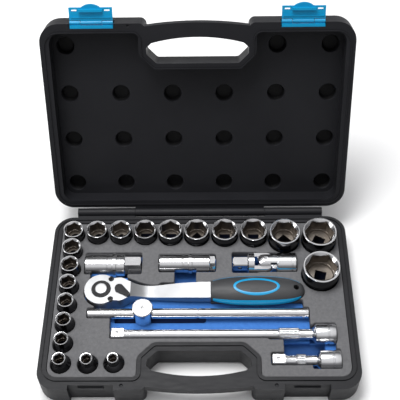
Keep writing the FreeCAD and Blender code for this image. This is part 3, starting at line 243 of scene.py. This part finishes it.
SLOT_MATERIAL = {
    "case_plastic": CASE, "latch_blue": LATCH, "pin_steel": PIN, "foam_grey": FOAM_GREY_WITH_PAINTED_SHADE,
    "foam_blue": FOAM_BLUE_WITH_PAINTED_SHADE, "chrome": CHROME, "chrome_satin": SATIN,
    "blackened_steel": BLACKENED, "rubber_black": RUBBER, "grip_black": GRIP,
    "grip_blue": GRIP_BLUE,
}
NODE_SLOT = {entry["node"]: entry["material_slot"] for entry in frame["record"]["subparts"]}
NODE_BODY = {}
for body_name, members in frame["record"]["behaviour"]["bodies"].items():
    for member in members:
        NODE_BODY[member] = body_name


def dress(obj, *materials):
    """Set an object's materials. Clearing empty slots would reset the faces' material indices."""
    slots = obj.data.materials
    if len(slots) > 0:
        slots.clear()
    for material in materials:
        slots.append(material)


for node_name, node in NODES.items():
    dress(node, LID if node_name == "lid_shell" else SLOT_MATERIAL[NODE_SLOT[node_name]])


# ---------------------------------------------------------------- mesh tools

TURNS = 96
ANGLES = [math.tau * i / TURNS for i in range(TURNS)]


def circle(radius):
    return lambda angle: radius


def polygon(sides, half, turn=0.0, reach=None):
    """Distance to a regular polygon with this half width across flats, one corner at turn."""
    step = math.tau / sides

    def distance(angle):
        off = (angle - turn) % step - step / 2
        out = half / math.cos(off)
        return out if reach is None else min(out, reach)
    return distance


def larger(first, second):
    return lambda angle: max(first(angle), second(angle))


def ring_upright(x, u, d, shape):
    centre = at(x, u, d)
    return [centre + Vector((math.cos(a), math.sin(a), 0)) * shape(a) for a in ANGLES]


def ring_lying(x, u, d, shape):
    """A ring about a tool's X axis; angle 0 points along +Y."""
    centre = at(x, u, d)
    return [centre + Vector((0, math.cos(a), math.sin(a))) * shape(a) for a in ANGLES]


def loft(bm, rings, joined=False, caps=True, paint=None):
    """Skin rings of equal length with quads, and close the ends or join them.
    paint gives each band of quads its material index."""
    rows = [[bm.verts.new(point) for point in ring] for ring in rings]
    count = len(rows[0])
    pairs = list(zip(rows, rows[1:]))
    if joined:
        pairs.append((rows[-1], rows[0]))
    for band, (low, high) in enumerate(pairs):
        for i in range(count):
            j = (i + 1) % count
            face = bm.faces.new((low[i], low[j], high[j], high[i]))
            if paint is not None:
                face.material_index = paint(band)
    if caps and not joined:
        bm.faces.new(list(reversed(rows[0])))
        bm.faces.new(rows[-1])


def finish_mesh(bm, name, sharp=26.0):
    """Turn a bmesh in millimetres into an object in metres, with crisp edges kept sharp."""
    bmesh.ops.remove_doubles(bm, verts=bm.verts, dist=0.0005)
    bmesh.ops.dissolve_degenerate(bm, dist=0.0004, edges=bm.edges)
    bmesh.ops.recalc_face_normals(bm, faces=bm.faces)
    bmesh.ops.scale(bm, vec=(MM, MM, MM), verts=bm.verts)
    limit = math.radians(sharp)
    for face in bm.faces:
        face.smooth = True
    for edge in bm.edges:
        if len(edge.link_faces) == 2 and edge.calc_face_angle(0.0) > limit:
            edge.smooth = False
    mesh = bpy.data.meshes.new(name)
    bm.to_mesh(mesh)
    bm.free()
    obj = bpy.data.objects.new(name, mesh)
    bpy.context.scene.collection.objects.link(obj)
    return obj


def place(obj, material, *nodes):
    """Give a piece its materials, its body, and the CAD nodes that it stands for."""
    dress(obj, *(material if isinstance(material, tuple) else (material,)))
    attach(obj, NODE_BODY[nodes[0]])
    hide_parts(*nodes)


def apply_modifiers(obj):
    """Replace a piece's mesh with the result of its modifiers."""
    evaluated = obj.evaluated_get(bpy.context.evaluated_depsgraph_get())
    result = bpy.data.meshes.new_from_object(evaluated)
    obj.modifiers.clear()
    obj.data = result


# ---------------------------------------------------------------- sockets

SOCKET_FOOT = -25.5
SOCKETS = {}
for row_index, row_size in enumerate([17, 16, 15, 14, 13, 12, 11, 10]):
    SOCKETS[row_size] = (-150.4, 33.2 + 24.2 * row_index)
SOCKETS.update({
    18: (-122.3, 33.3), 19: (-94.2, 33.3), 20: (-64.9, 33.4), 21: (-34.8, 33.8), 22: (-3.4, 34.2),
    23: (30.0, 34.5), 24: (64.7, 34.8), 27: (100.7, 41.2), 30: (141.7, 42.1),
    9: (-120.9, 202.8), 8: (-92.4, 202.0), 32: (140.1, 90.8),
})
STEP = math.degrees(math.tau / TURNS)
HEX_TURN = {20: STEP, 22: 0.0, 23: -3 * STEP, 24: STEP, 27: 0.0, 30: -STEP, 32: 0.0}
SQUARE_TURN = {22: 0.0, 27: 0.0, 30: 15.0, 32: 30.0}


def knurl(radius, depth, teeth, phase):
    """Diamond knurling: the radius dips between two crossing sets of ridges."""
    def distance(angle):
        wave = math.cos(teeth * angle + phase) * math.cos(teeth * angle - phase)
        return radius - depth * (0.5 - 0.5 * wave)
    return distance


def socket(size):
    x, u = SOCKETS[size]
    mouth = (1.25 * size + 2.5) / 2
    foot = max(11.0, mouth - (0.6 if size > 20 else 0.0))
    length = 43.0 if size > 24 else 38.0
    hex_turn = math.radians(HEX_TURN.get(size, 90.0))
    square_turn = math.radians(SQUARE_TURN.get(size, 45.0))
    flat = (size + 0.3) / 2
    corner = flat / math.cos(math.pi / 6)
    hex_depth = min(0.55 * size + 5.0, 17.0)
    lead = min(corner + 0.75, mouth - 0.75)
    relief = flat - 0.6
    hole = min(relief - 0.5, 5.2)
    square = 6.45

    stations = [(0.0, polygon(4, square + 0.5, square_turn)), (0.0, circle(foot - 0.9)),
                (0.3, circle(foot - 0.35)), (0.9, circle(foot)), (4.8, circle(foot)),
                (5.1, circle(foot - 0.4)), (5.7, circle(foot - 0.4)), (6.0, circle(foot))]
    stations += [(16.4, circle(foot)), (16.8, circle(foot - 0.3))]
    for index in range(11):
        stations.append((17.2 + 0.7 * index, knurl(foot, 0.42, 24, index * math.pi / 2)))
    stations += [(24.6, circle(foot - 0.3)), (25.0, circle(foot - 0.1))]
    if abs(foot - mouth) > 0.05:
        step = mouth + (0.25 if foot > mouth else -0.2)
        stations += [(25.3, circle(foot - 0.3)), (28.2, circle(step)), (28.8, circle(mouth))]
    else:
        stations += [(25.4, circle(foot)), (26.2, circle(foot)), (26.5, circle(foot - 0.35)),
                     (27.1, circle(foot - 0.35)), (27.4, circle(foot))]
    stations += [(length - 0.8, circle(mouth)), (length - 0.25, circle(mouth - 0.18)),
                 (length, circle(mouth - 0.5)), (length - 0.02, circle(lead + 0.02))]
    chamfer = lead - flat
    hexagon = polygon(6, flat, hex_turn)
    for index in range(1, 9):
        drop = chamfer * index / 8
        stations.append((length - drop * 0.9, larger(hexagon, circle(lead - drop))))
    floor = length - hex_depth
    stations += [(floor + 0.2, hexagon), (floor, polygon(6, flat - 0.2, hex_turn)),
                 (floor - 0.1, circle(relief + 0.3)), (floor - 0.5, circle(relief)),
                 (floor - 3.2, circle(relief)), (floor - 3.5, circle(relief - 0.3)),
                 ]
    if size >= 20:
        stations += [(floor - 3.5, polygon(4, square + 0.15, square_turn)),
                     (floor - 3.7, polygon(4, square, square_turn))]
    else:
        stations += [(floor - 3.5, circle(hole + 0.2)), (floor - 3.8, circle(hole)),
                     (15.7, circle(hole)), (15.5, circle(hole + 0.1)),
                     (15.5, polygon(4, square, square_turn))]
    stations.append((0.6, polygon(4, square, square_turn)))
    side_end = [s for s, shape in stations].index(length - 0.8)
    bore_start = side_end + 11

    # Outer sides get the painted dark reflection (index 1), the rim and mouth chamfer chrome (0), the bore its
    # steel (2).
    def paint(band):
        if band < side_end:
            return 1
        return 0 if band < bore_start else 2
    bm = bmesh.new()
    rings = [ring_upright(x, u, SOCKET_FOOT + s, shape) for s, shape in stations]
    loft(bm, rings, joined=True, paint=paint)
    name = "socket_%dmm" % size
    place(finish_mesh(bm, name + "_turned"), (CHROME, CHROME_PAINTED_DARK_REFLECTION, BORE), name)


for socket_size in SOCKETS:
    socket(socket_size)


# ---------------------------------------------------------------- foam tray

def foam_layer(node_name, material):
    """A soft copy of a foam layer: its cut edges are eased, and its skin is slightly uneven."""
    mesh = NODES[node_name].data.copy()
    obj = bpy.data.objects.new(node_name + "_soft", mesh)
    bpy.context.scene.collection.objects.link(obj)
    remesh = obj.modifiers.new("cells", "REMESH")
    remesh.mode = "VOXEL"
    remesh.voxel_size = 1.1 * MM
    ease = obj.modifiers.new("ease", "SMOOTH")
    ease.factor = 0.5
    ease.iterations = 3
    swell = bpy.data.textures.new(node_name + "_swell", "CLOUDS")
    swell.noise_scale = 0.02
    uneven = obj.modifiers.new("uneven", "DISPLACE")
    uneven.texture = swell
    uneven.texture_coords = "LOCAL"
    uneven.strength = 0.35 * MM
    uneven.mid_level = 0.75
    apply_modifiers(obj)
    for face in obj.data.polygons:
        face.use_smooth = True
    place(obj, material, node_name)


foam_layer("foam_top", FOAM_GREY_WITH_PAINTED_SHADE)
foam_layer("foam_bottom", FOAM_BLUE_WITH_PAINTED_SHADE)


# ---------------------------------------------------------------- tools that lie down

SQUARE = 12.7
SQUARE_BORE = 12.9


KNURL_PITCH = 0.75


def drive_square(x, length):
    """Stations of a drive square with chamfered edges, nose first."""
    half = SQUARE / 2
    corner = half * math.sqrt(2) - 0.9
    turn = math.radians(45.0)
    return [(x, polygon(4, half - 1.2, turn, corner - 1.6)),
            (x + 0.35, polygon(4, half - 0.5, turn, corner - 0.9)),
            (x + 1.3, polygon(4, half, turn, corner)),
            (x + length, polygon(4, half, turn, corner))]


def knurled_band(x0, x1, radius, depth, teeth):
    """Stations of a diamond-knurled band between two x values."""
    count = max(4, int((x1 - x0) / KNURL_PITCH))
    return [(x0 + (x1 - x0) * i / count, knurl(radius, depth, teeth, i * math.pi / 2))
            for i in range(count + 1)]


def extension(name, x, u, d, length, grip_from, grip_to):
    """Drive square, shaft, knurled band, and a female end with its square bore."""
    shaft = 6.0
    female = 11.5
    half = SQUARE_BORE / 2
    turn = math.radians(45.0)
    end = x + length
    stations = drive_square(x, 14.8)
    stations += [(x + 15.0, circle(6.4)), (x + 16.2, circle(6.2)), (x + 18.0, circle(shaft)),
                 (x + grip_from, circle(shaft)), (x + grip_from + 0.5, circle(7.1)),
                 (x + grip_from + 0.9, circle(7.4)), (x + grip_from + 1.6, circle(7.4))]
    stations += knurled_band(x + grip_from + 1.8, x + grip_to - 1.8, 7.4, 0.45, 20)
    stations += [(x + grip_to - 1.6, circle(7.4)), (x + grip_to - 0.9, circle(7.4)),
                 (x + grip_to - 0.4, circle(7.0)), (x + grip_to, circle(shaft)),
                 (end - 27.0, circle(shaft)), (end - 26.0, circle(6.3)), (end - 23.4, circle(9.8)),
                 (end - 22.2, circle(11.2)), (end - 21.4, circle(female)),
                 (end - 9.0, circle(female)), (end - 8.6, circle(female - 0.7)), (end - 7.6, circle(female - 0.7)),
                 (end - 7.2, circle(female)), (end - 0.9, circle(female)),
                 (end - 0.25, circle(female - 0.3)), (end, circle(female - 0.9)),
                 (end, polygon(4, half + 0.6, turn)), (end - 0.7, polygon(4, half, turn)),
                 (end - 15.9, polygon(4, half, turn)), (end - 16.0, polygon(4, half - 0.4, turn))]
    bm = bmesh.new()
    loft(bm, [ring_lying(place_x, u, d, shape) for place_x, shape in stations])
    place(finish_mesh(bm, name + "_turned"), CHROME_X, name)


extension("extension_250mm", -98.6, 165.2, -6.0, 250.0, 186.0, 210.5)
extension("extension_75mm", 79.2, 197.0, -7.0, 75.0, 26.0, 38.0)


# ---------------------------------------------------------------- ratchet grip

GRIP_U = 111.4
GRIP_D = -2.0
GRIP_OVAL_X = 65.2
GRIP_HOLE_X = 110.6
GRIP_ROWS = [
    # x, half width, half height
    (13.0, 11.8, 8.4), (22.0, 14.6, 9.8), (38.0, 17.2, 11.2), (60.0, 18.2, 11.9),
    (84.0, 17.6, 11.5), (100.0, 15.6, 10.2), (111.0, 12.2, 8.2), (117.5, 7.8, 5.6),
    (120.3, 3.0, 2.4),
]


OVAL_SECTION = [
    # half length, half width, height above the skin
    (23.4, 8.2, -0.8), (23.4, 8.2, 0.16), (24.1, 8.9, 0.30), (24.9, 9.7, 0.34),
    (25.7, 10.5, 0.30), (26.4, 11.2, 0.16), (26.4, 11.2, -0.8),
]


def grip_at(x):
    """Half width and half height of the grip at x, on a smooth curve through its rows."""
    rows = [GRIP_ROWS[0]] + GRIP_ROWS + [GRIP_ROWS[-1]]
    for index in range(1, len(rows) - 2):
        before, left, right, after = rows[index - 1:index + 3]
        if x <= right[0]:
            break
    share = (x - left[0]) / (right[0] - left[0])
    sizes = []
    for axis in (1, 2):
        slope_left = (right[axis] - before[axis]) / max(1.0, right[0] - before[0])
        slope_right = (after[axis] - left[axis]) / max(1.0, after[0] - left[0])
        width = right[0] - left[0]
        sizes.append((2 * share ** 3 - 3 * share ** 2 + 1) * left[axis]
                     + (share ** 3 - 2 * share ** 2 + share) * width * slope_left
                     + (3 * share ** 2 - 2 * share ** 3) * right[axis]
                     + (share ** 3 - share ** 2) * width * slope_right)
    return sizes


def grip_point(x, angle, lift=0.0):
    wide, high = grip_at(x)
    return at(x, GRIP_U, GRIP_D) + Vector((0, (wide + lift) * math.cos(angle),
                                           (high + lift) * math.sin(angle)))


def grip_xs(start, end, count):
    return [start + (end - start) * (0.5 - 0.5 * math.cos(math.pi * i / count))
            for i in range(count + 1)]


def cut_hole(obj, x, u, radius):
    """Bore a round upright hole through a finished piece."""
    bm = bmesh.new()
    bmesh.ops.create_cone(bm, cap_ends=True, segments=48, radius1=radius * MM, radius2=radius * MM,
                          depth=0.08)
    mesh = bpy.data.meshes.new("drill")
    bm.to_mesh(mesh)
    bm.free()
    drill = bpy.data.objects.new("drill", mesh)
    drill.location = at(x, u, 0) * MM
    bpy.context.scene.collection.objects.link(drill)
    bore = obj.modifiers.new("bore", "BOOLEAN")
    bore.operation = "DIFFERENCE"
    bore.object = drill
    apply_modifiers(obj)
    bpy.data.objects.remove(drill)


def grip_handle():
    """The black handle: a rounded front edge, then the swelling body with its hanging hole."""
    bm = bmesh.new()
    rings = []
    for inset, x in [(1.4, 13.0), (0.5, 13.2), (0.0, 13.9)]:
        rings.append([grip_point(x, a, -inset) for a in ANGLES])
    rings += [[grip_point(x, a) for a in ANGLES] for x in grip_xs(14.5, 120.25, 56)]
    loft(bm, rings)
    handle = finish_mesh(bm, "grip_sculpted", sharp=40.0)
    cut_hole(handle, GRIP_HOLE_X, GRIP_U, 3.2)
    place(handle, GRIP, "grip")


def grip_stripes():
    """A thin tapering stripe let into each side, from its angle to the level upwards."""
    bm = bmesh.new()
    for middle, sign in ((0.0, 1), (math.pi, -1)):
        rings = []
        for index, x in enumerate(grip_xs(15.5, 116.0, 48)):
            swell = math.sin(math.pi * (0.04 + 0.92 * index / 48)) ** 0.35
            sweep = [middle + sign * (0.06 + (0.17 + 0.29 * swell * (step / 5 - 1)))
                     for step in range(0, 11)]
            outside = [grip_point(x, a, 0.18) for a in sweep]
            inside = [grip_point(x, a, -0.8) for a in reversed(sweep)]
            rings.append(outside + inside)
        loft(bm, rings)
    place(finish_mesh(bm, "grip_stripes_inlaid", sharp=40.0), GRIP_BLUE, "grip_stripes")


def grip_oval():
    """A raised oval ring on top, its section swept round and laid on the grip's skin."""
    bm = bmesh.new()
    rings = []
    for step in range(TURNS):
        turn = math.tau * step / TURNS
        ring = []
        for a, b, lift in OVAL_SECTION:
            x = GRIP_OVAL_X + a * math.cos(turn)
            wide = grip_at(x)[0]
            angle = math.acos(max(-1.0, min(1.0, b * math.sin(turn) / wide)))
            ring.append(grip_point(x, angle, lift))
        rings.append(ring)
    loft(bm, rings, joined=True)
    place(finish_mesh(bm, "grip_oval_ring", sharp=40.0), GRIP_BLUE, "grip_oval")


grip_handle()
grip_stripes()
grip_oval()


# ---------------------------------------------------------------- camera and light

def camera():
    pitch, yaw, roll = math.radians(54.27), math.radians(-1.468), math.radians(-1.507)
    forward = Vector((math.sin(yaw) * math.cos(pitch), math.cos(yaw) * math.cos(pitch),
                      -math.sin(pitch)))
    level = Vector((math.cos(yaw), -math.sin(yaw), 0))
    steep = level.cross(forward)
    right = level * math.cos(roll) + steep * math.sin(roll)
    up = steep * math.cos(roll) - level * math.sin(roll)
    data = bpy.data.cameras.new("view")
    data.lens = 74.05
    data.sensor_width = 36.0
    data.shift_y = 0.05
    data.clip_start = 0.01
    obj = bpy.data.objects.new("view", data)
    turn = Matrix((right, up, -forward)).transposed().to_4x4()
    obj.matrix_world = Matrix.Translation((0.01535, -0.47631, 0.84489)) @ turn
    bpy.context.scene.collection.objects.link(obj)
    bpy.context.scene.camera = obj


def area_light(name, place_at, target, size_x, size_y, power):
    data = bpy.data.lights.new(name, "AREA")
    data.shape = "RECTANGLE"
    data.size = size_x
    data.size_y = size_y
    data.energy = power
    obj = bpy.data.objects.new(name, data)
    obj.location = place_at
    aim = Vector(target) - Vector(place_at)
    obj.rotation_euler = aim.to_track_quat("-Z", "Y").to_euler()
    bpy.context.scene.collection.objects.link(obj)


def studio():
    """A dark-sided room with a bright ceiling, as a light tent gives polished steel."""
    world = bpy.data.worlds.new("studio")
    world.use_nodes = True
    nodes = world.node_tree.nodes
    links = world.node_tree.links
    background = nodes["Background"]
    coords = nodes.new("ShaderNodeTexCoord")
    split = nodes.new("ShaderNodeSeparateXYZ")
    links.new(coords.outputs["Generated"], split.inputs["Vector"])
    tone = ramp(nodes, links, split.outputs["Z"], [
        (0.0, (0.10, 0.10, 0.105)), (0.30, (0.14, 0.14, 0.145)), (0.55, (0.30, 0.30, 0.31)),
        (0.75, (0.72, 0.72, 0.73)), (1.0, (0.85, 0.85, 0.86))])
    links.new(tone, background.inputs["Color"])
    background.inputs["Strength"].default_value = 1.0
    bpy.context.scene.world = world
    area_light("top_panel", (-0.2, 0.25, 1.35), (0, 0.0, 0.03), 0.8, 0.5, 17.0)
    area_light("left_panel", (-1.1, -0.1, 0.9), (0, 0.0, 0.05), 0.5, 0.8, 4.0)


def floor():
    bm = bmesh.new()
    bmesh.ops.create_grid(bm, x_segments=8, y_segments=8, size=4.0)
    mesh = bpy.data.meshes.new("floor")
    bm.to_mesh(mesh)
    bm.free()
    obj = bpy.data.objects.new("floor", mesh)
    obj.location = (0, 0, -0.0002)
    bpy.context.scene.collection.objects.link(obj)
    material, nodes, links, shader = new_material("floor_pale")
    shader.inputs["Base Color"].default_value = (0.92, 0.92, 0.92, 1.0)
    shader.inputs["Roughness"].default_value = 0.85
    dress(obj, material)


camera()
studio()
floor()
bpy.context.scene.view_settings.view_transform = "Standard"
